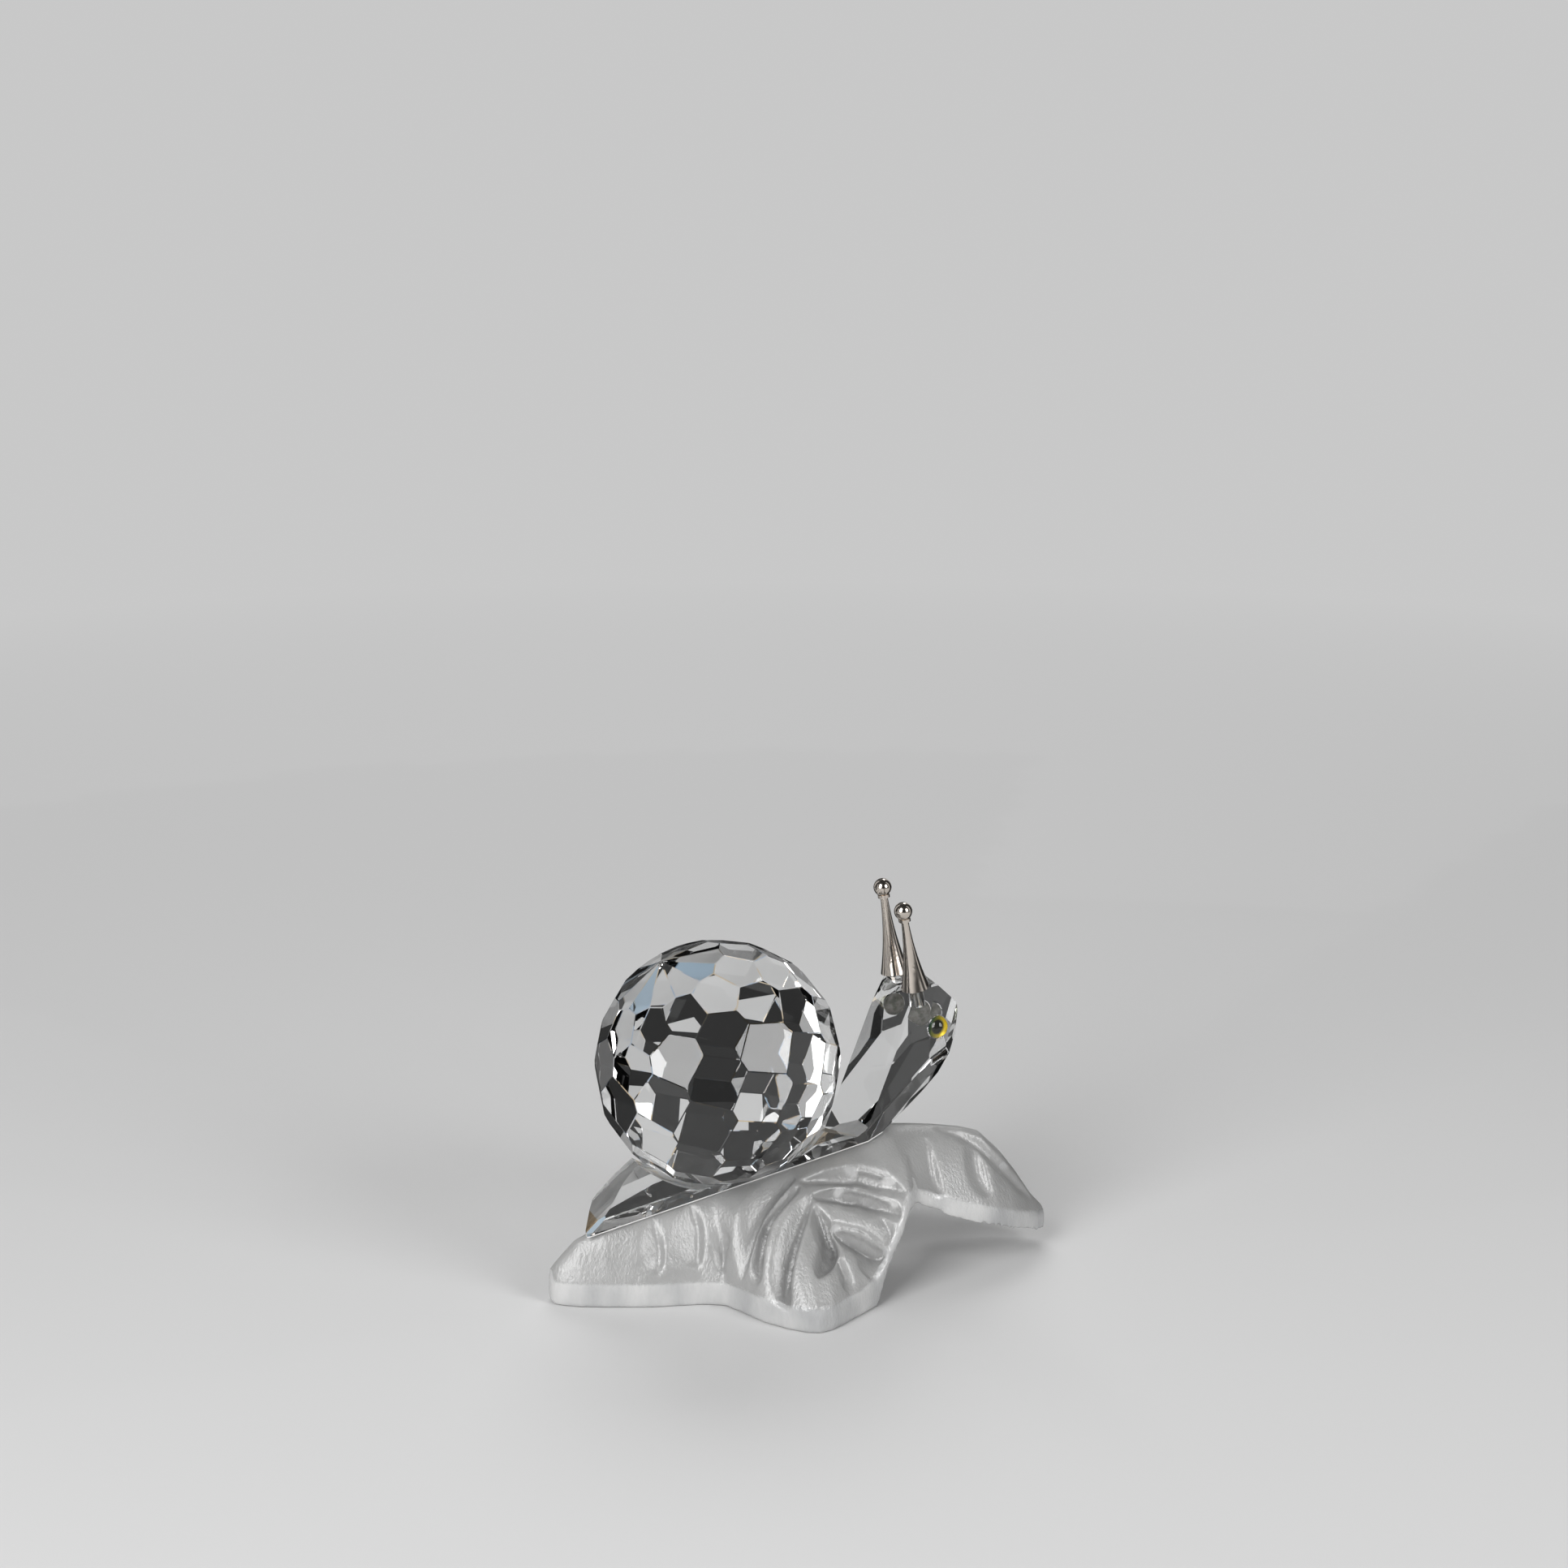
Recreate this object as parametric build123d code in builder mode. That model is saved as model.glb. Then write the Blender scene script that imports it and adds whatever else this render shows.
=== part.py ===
"""A snail cut from clear crystal, creeping up a frosted glass leaf.

Millimetres. +X is the way the snail faces, +Y is its left and +Z is up. The
origin is on the table, under the middle of the leaf.
"""

import math
import os

from build123d import *

os.makedirs("parts", exist_ok=True)

# Leaf
LEAF_REACH = 28.35
LEAF_SIDE_REACH = 16.1
LEAF_CREST = 16.0
LEAF_THICKNESS = 2.3
LEAF_FOOT_DEPTH = 2.0
LEAF_SWING = 1.8
VEIN_DEPTH = 0.7
VEIN_WIDTH = 3.2
SEAT_STOCK = 0.15
SEAT_MARGIN = 0.4

# Snail body
TAIL_X = -24.7
TAIL_Z = 7.75
SNAIL_LENGTH = 41.5
SNAIL_RISE = 25.05
BODY_WIDTH = 8.8
LAND_THICKNESS = 1.5
NECK_HOLLOW = 1.1

# Shell ball
BALL_ACROSS_FLATS = 25.7
BALL_SEAT_CUT = 0.75
BALL_ALONG_FOOT = 18.7
BALL_LEAN = 27.6
BALL_TURN = 3.0
FACETS_PER_RING = 12
POCKET_CLEARANCE = 0.3

# Horns
HORN_INSET = 1.45
HORN_BASE_D = 3.1
HORN_NECK_D = 0.8
HORN_COLLAR_D = 1.3
HORN_COLLAR_H = 0.35
HORN_BALL_D = 1.97
RIGHT_HORN_LENGTH = 9.95
LEFT_HORN_LENGTH = 10.7
RIGHT_HORN_LEAN = 2.4
LEFT_HORN_LEAN = 0.0
HORN_SPLAY = 2.5
PIN_D = 1.0
PIN_LENGTH = 2.0

# Eyes
EYE_D = 2.5
EYE_HEIGHT = 1.0
EYE_RIM = 0.15
SOCKET_DEPTH = 0.3
SOCKET_CLEARANCE = 0.05

# Adhesive
BOND = 0.1
SHELL_BOND_D = 4.4
PIN_BOND = 0.15

# Polar angles of the facet rings from the ball's apex to its equator, in degrees
RING_ANGLES = (17.5, 38.0, 54.5, 72.0, 90.0)

# Cross sections of the leaf from its rear tip to its front tip: place along the reach,
# half width as a share of the side reach, how far the crest has fallen below the seat
# slope and how high the rim stands, both as shares of the crest height.
SECTION_SHARES = (
    (-1.000, 0.062, 0.200, 0.155),
    (-0.972, 0.099, 0.150, 0.155),
    (-0.903, 0.143, 0.044, 0.150),
    (-0.806, 0.186, 0.0, 0.150),
    (-0.663, 0.248, 0.0, 0.150),
    (-0.472, 0.298, 0.0, 0.150),
    (-0.389, 0.366, 0.0, 0.150),
    (-0.347, 0.534, 0.0, 0.156),
    (-0.309, 0.696, 0.0, 0.162),
    (-0.250, 0.845, 0.0, 0.162),
    (-0.194, 0.950, 0.0, 0.162),
    (-0.139, 1.000, 0.0, 0.162),
    (-0.076, 0.969, 0.0, 0.162),
    (0.000, 0.882, 0.0, 0.162),
    (0.080, 0.795, 0.0, 0.175),
    (0.149, 0.714, 0.0, 0.225),
    (0.208, 0.658, 0.0, 0.375),
    (0.271, 0.609, 0.0, 0.550),
    (0.326, 0.509, 0.020, 0.680),
    (0.372, 0.416, 0.045, 0.706),
    (0.434, 0.398, 0.082, 0.638),
    (0.538, 0.410, 0.155, 0.550),
    (0.649, 0.404, 0.244, 0.481),
    (0.722, 0.379, 0.319, 0.431),
    (0.806, 0.317, 0.506, 0.369),
    (0.875, 0.248, 0.700, 0.319),
    (0.944, 0.168, 0.920, 0.275),
    (1.000, 0.068, 1.056, 0.238),
)
# Veins, each a groove along points on the leaf given as shares of its reach and side
# reach, and cut on both sides of the middle
VEIN_SHARES = {
    "rear flank": ((-0.08, 0.21), (-0.17, 0.28), (-0.25, 0.36), (-0.31, 0.44), (-0.345, 0.49)),
    "second": ((-0.08, 0.30), (-0.17, 0.37), (-0.24, 0.43), (-0.29, 0.52), (-0.31, 0.63)),
    "third": ((-0.05, 0.40), (-0.13, 0.55), (-0.195, 0.67), (-0.235, 0.77), (-0.24, 0.87)),
    "midrib": ((-0.05, 0.45), (-0.02, 0.56), (-0.01, 0.65), (-0.04, 0.74), (-0.12, 0.84)),
    "fourth": ((-0.02, 0.56), (0.05, 0.59), (0.12, 0.60), (0.17, 0.64), (0.20, 0.68)),
    "fifth": ((-0.05, 0.39), (0.05, 0.385), (0.14, 0.40), (0.21, 0.47), (0.28, 0.58)),
    "front flank": ((-0.07, 0.26), (0.04, 0.27), (0.16, 0.30), (0.24, 0.40), (0.31, 0.49)),
    "rear lobe": ((-0.48, 0.06), (-0.46, 0.14), (-0.465, 0.21), (-0.48, 0.26)),
    "rear tip": ((-0.62, 0.07), (-0.61, 0.15), (-0.615, 0.20), (-0.64, 0.23)),
    "front lobe": ((0.48, 0.14), (0.47, 0.27), (0.473, 0.35), (0.48, 0.40)),
    "front tip": ((0.68, 0.10), (0.675, 0.20), (0.672, 0.28), (0.69, 0.35)),
}
# The rib of the front lobe, a single groove a little to the right of the middle
RIB_SHARES = ((0.53, 0.055), (0.65, 0.09), (0.74, 0.14), (0.83, 0.14), (0.92, 0.11))
# How deep a vein is at each of its points
VEIN_FADE_SHARES = (0.15, 0.8, 1.0, 0.8, 0.15)
# Reach at which the rear lobe starts to swing aside, at which its underside starts to
# close towards the tip, and the end of the grounded lobes
SWING_SHARE = 0.35
CLOSED_SHARE = 0.9
GROUNDED_SHARE = 0.15
# Steps across a half section above and on the plainer underside, and how the surface
# rounds over towards the rim
SECTION_POINTS = 6
UNDER_POINTS = 3
ROLL = 1.9
SPANS = [step / (2 * SECTION_POINTS) for step in range(2 * SECTION_POINTS + 1)]

# Side outline of the body from the tail's tip, as shares of its length and rise
SOLE_FRONT_SHARE = (0.798, 0.330)
THROAT_SHARES = ((0.870, 0.425), (0.918, 0.493), (0.957, 0.565), (0.981, 0.669), (0.999, 0.741))
FACE_SHARES = ((1.000, 0.856), (0.989, 0.904), (0.928, 1.000))
NAPE_TOP_SHARE = (0.843, 0.980)
NAPE_FOOT_SHARE = (0.667, 0.593)
TAIL_TOP_SHARES = ((0.150, 0.340), (0.088, 0.240), (0.020, 0.090), (0.000, 0.022))

# Side facets of the body: a point on the plane as shares of length, half width and
# rise, and the way the facet faces. Each is cut on both sides.
BODY_FACET_SHARES = (
    ("foot undercut", (0.388, 0.364, 0.161), (0.098, 0.78, -0.62)),
    ("flank", (0.581, 0.93, 0.409), (-0.10, 0.99, 0.08)),
    ("cheek", (0.870, 0.977, 0.888), (-0.05, 0.98, 0.12)),
    ("eye facet", (0.928, 0.91, 0.812), (0.34, 0.94, 0.0)),
    ("face bevel", (0.971, 0.727, 0.768), (0.72, 0.68, -0.15)),
    ("throat bevel", (0.824, 0.977, 0.545), (0.45, 0.77, -0.45)),
)
# The same for short facets, which end before they reach the rest of the body
SHORT_FACET_SHARES = (
    ("tail roof", (0.128, 0.16, 0.329), (-0.30, 0.80, 0.52)),
    ("tail tip", (0.007, 0.136, 0.014), (-0.75, 0.62, -0.10)),
    ("nape bevel", (0.805, 0.59, 0.828), (-0.77, 0.50, 0.30)),
)
# Place of the horn seats along the head's top facet, and how much of its flare a horn
# keeps halfway up
HORN_SEAT_SHARE = 0.37
HORN_FLARE_SHARE = 0.3


def snail_point(share):
    """A point of the body's side outline, in the plane of symmetry."""
    along, up = share
    return (TAIL_X + along * SNAIL_LENGTH, TAIL_Z + up * SNAIL_RISE)


# The sole: a slope from the tail's tip up to the front of the foot
sole_front = snail_point(SOLE_FRONT_SHARE)
foot_pitch = math.atan2(sole_front[1] - TAIL_Z, sole_front[0] - TAIL_X)
sole_along = Vector(math.cos(foot_pitch), 0, math.sin(foot_pitch))
sole_up = Vector(-math.sin(foot_pitch), 0, math.cos(foot_pitch))
tail_point = Vector(TAIL_X, 0, TAIL_Z)

ball_radius = BALL_ACROSS_FLATS / 2
seat_distance = ball_radius - BALL_SEAT_CUT
ball_height = LAND_THICKNESS + BOND + seat_distance
ball_centre = tail_point + sole_along * BALL_ALONG_FOOT + sole_up * ball_height


def seat_height(x):
    """Height of the leaf's ground seat below the snail's sole."""
    return TAIL_Z - BOND / math.cos(foot_pitch) + (x - TAIL_X) * math.tan(foot_pitch)


def lobe_middle(along):
    """How far the middle of the leaf lies aside, where the rear lobe swings."""
    return LEAF_SWING * (max(-along - SWING_SHARE, 0.0) / (1 - SWING_SHARE)) ** 2


def leaf_section(share):
    """Upper and lower points of one cross section, and its plane."""
    along, half, fallen, rim = share
    x = along * LEAF_REACH
    middle = lobe_middle(along)
    half_width = half * LEAF_SIDE_REACH
    crest = seat_height(x) + SEAT_STOCK - fallen * LEAF_CREST
    rim_height = rim * LEAF_CREST
    foot_depth = LEAF_FOOT_DEPTH if along < GROUNDED_SHARE else 0.0
    closed = max(-along - CLOSED_SHARE, 0.0) / (1 - CLOSED_SHARE)
    upper = []
    for step in range(-SECTION_POINTS, SECTION_POINTS + 1):
        span = step / SECTION_POINTS
        upper.append((middle + half_width * span, crest - (crest - rim_height) * abs(span) ** ROLL))
    lower = []
    for step in range(-UNDER_POINTS, UNDER_POINTS + 1):
        span = step / UNDER_POINTS
        roll = abs(span) ** ROLL
        foot = LEAF_THICKNESS + foot_depth * (closed + (1 - closed) * roll)
        lower.append((middle + half_width * span, crest - (crest - rim_height) * roll - foot))
    return upper, lower, Plane(origin=(x, 0, 0), x_dir=(0, 1, 0), z_dir=(1, 0, 0))


def facet(part_share, direction, side):
    """The plane of one of the body's side facets."""
    along, across, up = part_share
    x, z = snail_point((along, up))
    dx, dy, dz = direction
    return Plane(origin=(x, side * across * BODY_WIDTH / 2, z), z_dir=(dx, side * dy, dz))


# Shell ball: rings of flat facets, each ring turned half a step from the next
pole = Vector(-math.sin(math.radians(BALL_LEAN)), 0, math.cos(math.radians(BALL_LEAN)))
right = Vector(0, -1, 0)
ahead = pole.cross(right)
ring_angles = RING_ANGLES + tuple(180 - angle for angle in reversed(RING_ANGLES[:-1]))
seat_plane = Plane(origin=ball_centre - sole_up * seat_distance, z_dir=-sole_up)
with BuildPart() as shell_ball:
    with Locations(ball_centre):
        Sphere(ball_radius * 1.1)
    for ring, angle in enumerate(ring_angles):
        for step in range(FACETS_PER_RING):
            turn = math.radians(BALL_TURN + (step + ring % 2 / 2) * 360 / FACETS_PER_RING)
            outward = right * math.cos(turn) + ahead * math.sin(turn)
            normal = pole * math.cos(math.radians(angle)) + outward * math.sin(math.radians(angle))
            split(
                bisect_by=Plane(origin=ball_centre + normal * ball_radius, z_dir=normal),
                keep=Keep.BOTTOM,
            )
    split(bisect_by=seat_plane, keep=Keep.BOTTOM)
shell_ball.part.label = "shell_ball"

# Adhesive disc under the ball's ground flat
with BuildPart() as shell_bond:
    with BuildSketch(seat_plane):
        Circle(SHELL_BOND_D / 2)
    extrude(amount=BOND)
shell_bond.part.label = "shell_bond"

# Relief in the body's back: a ball a little larger than the shell, flat on the land
ball_corner = max((vertex.center() - ball_centre).length for vertex in shell_ball.vertices())
land_plane = Plane(origin=tail_point + sole_up * LAND_THICKNESS, z_dir=sole_up)
with BuildPart() as pocket:
    with Locations(ball_centre):
        Sphere(ball_corner + POCKET_CLEARANCE)
    split(bisect_by=land_plane, keep=Keep.TOP)

# Horn seats and eye seats on the body
crown = Vector(*snail_point(FACE_SHARES[-1]))
nape_top = Vector(*snail_point(NAPE_TOP_SHARE))
nape_foot = Vector(*snail_point(NAPE_FOOT_SHARE))
horn_seat = nape_top + (crown - nape_top) * HORN_SEAT_SHARE
crown_slope = math.atan2(crown.Y - nape_top.Y, crown.X - nape_top.X)
eye_facet = next(row for row in BODY_FACET_SHARES if row[0] == "eye facet")


def horn_plane(side):
    """Plane at the foot of a horn, square to its axis."""
    splay = math.sin(math.radians(HORN_SPLAY))
    back = crown_slope + math.radians(HORN_LEANS[side])
    axis = (-math.sin(back), side * splay, math.cos(back))
    return Plane(origin=(horn_seat.X, side * (BODY_WIDTH / 2 - HORN_INSET), horn_seat.Y), z_dir=axis)


def eye_plane(side):
    """Plane of the flat that an eye is set in, at the eye's centre."""
    return facet(eye_facet[1], eye_facet[2], side)


SIDES = {"right": -1, "left": 1}
HORN_LENGTHS = {-1: RIGHT_HORN_LENGTH, 1: LEFT_HORN_LENGTH}
HORN_LEANS = {-1: RIGHT_HORN_LEAN, 1: LEFT_HORN_LEAN}

# Snail body: the side outline, then its facets, relief, sockets and pin holes
with BuildPart() as snail_body:
    with BuildSketch(Plane.XZ):
        with BuildLine():
            front = [sole_front] + [snail_point(s) for s in THROAT_SHARES + FACE_SHARES]
            Polyline((TAIL_X, TAIL_Z), *front, (nape_top.X, nape_top.Y))
            SagittaArc(nape_top, nape_foot, -NECK_HOLLOW)
            tail = [snail_point(s) for s in TAIL_TOP_SHARES]
            Polyline((nape_foot.X, nape_foot.Y), *tail, (TAIL_X, TAIL_Z))
        make_face()
    extrude(amount=BODY_WIDTH / 2, both=True)
    for name, place, direction in BODY_FACET_SHARES:
        for side in SIDES.values():
            split(bisect_by=facet(place, direction, side), keep=Keep.BOTTOM)
    for name, place, direction in SHORT_FACET_SHARES:
        for side in SIDES.values():
            with Locations(facet(place, direction, side)):
                Box(
                    SNAIL_RISE,
                    SNAIL_RISE,
                    BODY_WIDTH,
                    align=(Align.CENTER, Align.CENTER, Align.MIN),
                    mode=Mode.SUBTRACT,
                )
    add(pocket.part, mode=Mode.SUBTRACT)
    for side in SIDES.values():
        with BuildSketch(eye_plane(side)):
            Circle(EYE_D / 2 + SOCKET_CLEARANCE)
        extrude(amount=-SOCKET_DEPTH, mode=Mode.SUBTRACT)
        with BuildSketch(horn_plane(side)):
            Circle(PIN_D / 2 + PIN_BOND)
        extrude(amount=-(PIN_LENGTH + BOND), mode=Mode.SUBTRACT)
        with BuildSketch(horn_plane(side)):
            Circle(HORN_BASE_D / 2 + SOCKET_CLEARANCE)
        extrude(amount=HORN_BASE_D, mode=Mode.SUBTRACT)
snail_body.part.label = "snail_body"

# Adhesive film under the sole
sole_face = min(snail_body.faces(), key=lambda face: (face.center() - tail_point).dot(sole_up))
with BuildPart() as sole_bond:
    extrude(sole_face, amount=BOND, dir=tuple(-sole_up))
sole_bond.part.label = "sole_bond"


def between(share, column):
    """One value of the leaf's sections at a place along its reach."""
    for before, after in zip(SECTION_SHARES, SECTION_SHARES[1:]):
        if before[0] <= share <= after[0]:
            portion = (share - before[0]) / (after[0] - before[0])
            return before[column] + portion * (after[column] - before[column])
    return SECTION_SHARES[-1][column]


def leaf_top(x, y):
    """The point of the leaf's smooth upper surface over a place on the table."""
    along = x / LEAF_REACH
    half_width = between(along, 1) * LEAF_SIDE_REACH
    crest = seat_height(x) + SEAT_STOCK - between(along, 2) * LEAF_CREST
    rim_height = between(along, 3) * LEAF_CREST
    span = min(abs(y - lobe_middle(along)) / half_width, 1.0)
    return Vector(x, y, crest - (crest - rim_height) * span**ROLL)


def vein_cutter(points, side):
    """A wedge along a vein, shallow at its ends, that stands clear above the leaf."""
    places = [(x * LEAF_REACH, lobe_middle(x) + side * y * LEAF_SIDE_REACH) for x, y in points]
    path = [leaf_top(x, y) for x, y in places]
    with BuildPart() as wedge:
        for order, (x, y) in enumerate(places):
            before = path[max(order - 1, 0)]
            after = path[min(order + 1, len(path) - 1)]
            ahead = (after - before).normalized()
            slope_x = leaf_top(x + VEIN_WIDTH / 4, y) - leaf_top(x - VEIN_WIDTH / 4, y)
            slope_y = leaf_top(x, y + VEIN_WIDTH / 4) - leaf_top(x, y - VEIN_WIDTH / 4)
            up = slope_x.cross(slope_y).normalized()
            fade = VEIN_FADE_SHARES[order * (len(VEIN_FADE_SHARES) - 1) // (len(path) - 1)]
            across = up.cross(ahead).normalized()
            with BuildSketch(Plane(origin=path[order], x_dir=across, z_dir=ahead)):
                with BuildLine():
                    Polyline(
                        (0, -fade * VEIN_DEPTH),
                        (side * VEIN_WIDTH, VEIN_DEPTH / 4),
                        (side * VEIN_WIDTH, VEIN_WIDTH / 2),
                        (-side * VEIN_DEPTH, VEIN_WIDTH / 2),
                        (-side * VEIN_DEPTH, VEIN_DEPTH / 4),
                        close=True,
                    )
                make_face()
        loft()
    return wedge.part


# Leaf: a draped sheet with upright edges, grooved along its veins, ground flat below
# and under the snail's foot
seat_cut_plane = Plane(origin=tail_point - sole_up * BOND, x_dir=sole_along, z_dir=sole_up)
sole_box = sole_face.bounding_box()
with BuildPart() as leaf:
    for share in SECTION_SHARES:
        upper, lower, plane = leaf_section(share)
        with BuildSketch(plane):
            with BuildLine():
                add(Edge.make_spline([Vector(*point) for point in upper], parameters=SPANS))
                Polyline(upper[-1], *reversed(lower), upper[0])
            make_face()
    loft(ruled=True)
    for points in VEIN_SHARES.values():
        for side in SIDES.values():
            add(vein_cutter(points, side), mode=Mode.SUBTRACT)
    add(vein_cutter(RIB_SHARES, SIDES["right"]), mode=Mode.SUBTRACT)
    split(bisect_by=Plane.XY, keep=Keep.TOP)
    with BuildSketch(seat_cut_plane):
        with Locations(((sole_box.max.X - TAIL_X) / math.cos(foot_pitch) / 2, 0)):
            Rectangle(
                (sole_box.max.X - TAIL_X) / math.cos(foot_pitch) + 2 * SEAT_MARGIN,
                sole_box.size.Y + 2 * SEAT_MARGIN,
            )
    extrude(amount=SEAT_STOCK * 3, mode=Mode.SUBTRACT)
leaf.part.label = "leaf"


def horn(side):
    """A turned horn: trumpet cone, collar and ball tip, with its pin below."""
    ball_z = HORN_LENGTHS[side] - HORN_BALL_D / 2
    neck_top = ball_z - HORN_BALL_D / 2 - HORN_COLLAR_H / 2
    with BuildPart() as turned:
        with BuildSketch(Plane.XZ):
            with BuildLine():
                base = (HORN_BASE_D / 2, 0)
                waist = (HORN_NECK_D + HORN_FLARE_SHARE * (HORN_BASE_D - HORN_NECK_D)) / 2
                neck = (HORN_NECK_D / 2, neck_top)
                Polyline((0, -PIN_LENGTH), (PIN_D / 2, -PIN_LENGTH), (PIN_D / 2, 0), base)
                Spline(base, (waist, neck_top / 2), neck)
                Polyline(
                    neck,
                    (HORN_COLLAR_D / 2, neck_top),
                    (HORN_COLLAR_D / 2, neck_top + HORN_COLLAR_H),
                    (0, neck_top + HORN_COLLAR_H),
                    (0, -PIN_LENGTH),
                )
            make_face()
        revolve(axis=Axis.Z)
        with Locations((0, 0, ball_z)):
            Sphere(HORN_BALL_D / 2)
    return horn_plane(side).location * turned.part


def eye(side):
    """A glass cabochon with a short straight rim, seated on its adhesive."""
    floor = BOND - SOCKET_DEPTH
    with BuildPart() as cabochon:
        with BuildSketch(Plane.XZ):
            with BuildLine():
                Line((0, floor), (EYE_D / 2, floor))
                Line((EYE_D / 2, floor), (EYE_D / 2, EYE_RIM))
                Line((0, floor), (0, EYE_HEIGHT))
                TangentArc((0, EYE_HEIGHT), (EYE_D / 2, EYE_RIM), tangent=(1, 0))
            make_face()
        revolve(axis=Axis.Z)
    return eye_plane(side).location * cabochon.part


def horn_bond(side):
    """The sleeve of adhesive around a horn's pin."""
    with BuildPart() as sleeve:
        with BuildSketch():
            Circle(PIN_D / 2 + PIN_BOND)
            Circle(PIN_D / 2, mode=Mode.SUBTRACT)
        extrude(amount=-PIN_LENGTH)
    return horn_plane(side).location * sleeve.part


def eye_bond(side):
    """The disc of adhesive behind an eye."""
    with BuildPart() as disc:
        with BuildSketch(Plane.XY.offset(-SOCKET_DEPTH)):
            Circle(EYE_D / 2)
        extrude(amount=BOND)
    return eye_plane(side).location * disc.part


for whole in (shell_ball, shell_bond, snail_body, sole_bond, leaf):
    export_step(whole.part, f"parts/{whole.part.label}.step")
for name, side in SIDES.items():
    for kind, make in (("horn", horn), ("eye", eye), ("horn_bond", horn_bond), ("eye_bond", eye_bond)):
        piece = make(side)
        piece.label = f"{name}_{kind}"
        export_step(piece, f"parts/{piece.label}.step")
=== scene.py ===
"""Looks for a cut crystal snail on a frosted glass leaf.

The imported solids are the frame. The crystal pieces get fine bevels along their
cuts, the leaf gets its carved relief, the eyes are modelled afresh and every
piece gets its own finish.
Lengths are in metres; a value in millimetres is multiplied by MM.
"""

import logging
import math
from collections.abc import Callable
from dataclasses import dataclass, field
from enum import Enum

import bmesh
import bpy
import numpy as np
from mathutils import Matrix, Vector
from mathutils.bvhtree import BVHTree


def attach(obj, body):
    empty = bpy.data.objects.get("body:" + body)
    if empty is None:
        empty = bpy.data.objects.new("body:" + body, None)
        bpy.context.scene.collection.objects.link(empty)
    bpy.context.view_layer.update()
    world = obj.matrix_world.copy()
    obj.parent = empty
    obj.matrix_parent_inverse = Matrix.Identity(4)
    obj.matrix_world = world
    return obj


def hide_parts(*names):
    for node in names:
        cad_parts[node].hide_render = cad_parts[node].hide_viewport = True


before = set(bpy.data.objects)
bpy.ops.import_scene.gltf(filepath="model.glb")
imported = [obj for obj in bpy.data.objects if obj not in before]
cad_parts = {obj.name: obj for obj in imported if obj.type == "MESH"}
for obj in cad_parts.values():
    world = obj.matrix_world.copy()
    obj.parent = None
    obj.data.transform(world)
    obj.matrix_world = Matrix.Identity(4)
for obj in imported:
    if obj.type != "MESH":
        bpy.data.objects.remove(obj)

LOG = logging.getLogger("crystal_snail")
MM = 0.001

Point = tuple[float, float, float]
Colour = tuple[float, float, float, float]
Stops = tuple[tuple[float, Colour], ...]
Socket = bpy.types.NodeSocket

MERGE_WITHIN = 0.002 * MM
PALE: Colour = (0.58, 0.58, 0.58, 1.0)


class Side(Enum):
    """The two sides of the snail, as it faces forwards."""

    RIGHT = -1
    LEFT = 1

    @property
    def word(self) -> str:
        """The side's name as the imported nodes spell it."""
        return self.name.lower()


class Shading(Enum):
    """How a mesh is shaded."""

    FLAT = "flat"
    SMOOTH = "smooth"


class Mark(Enum):
    """The numbers that a mesh carries for its finish, among them where it gets painted coloured
    glints, painted rim glints and painted shade in its veins.
    """

    FIRE = "fire"
    RIM = "rim"
    VEIN_SHADE = "vein_shade"


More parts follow.
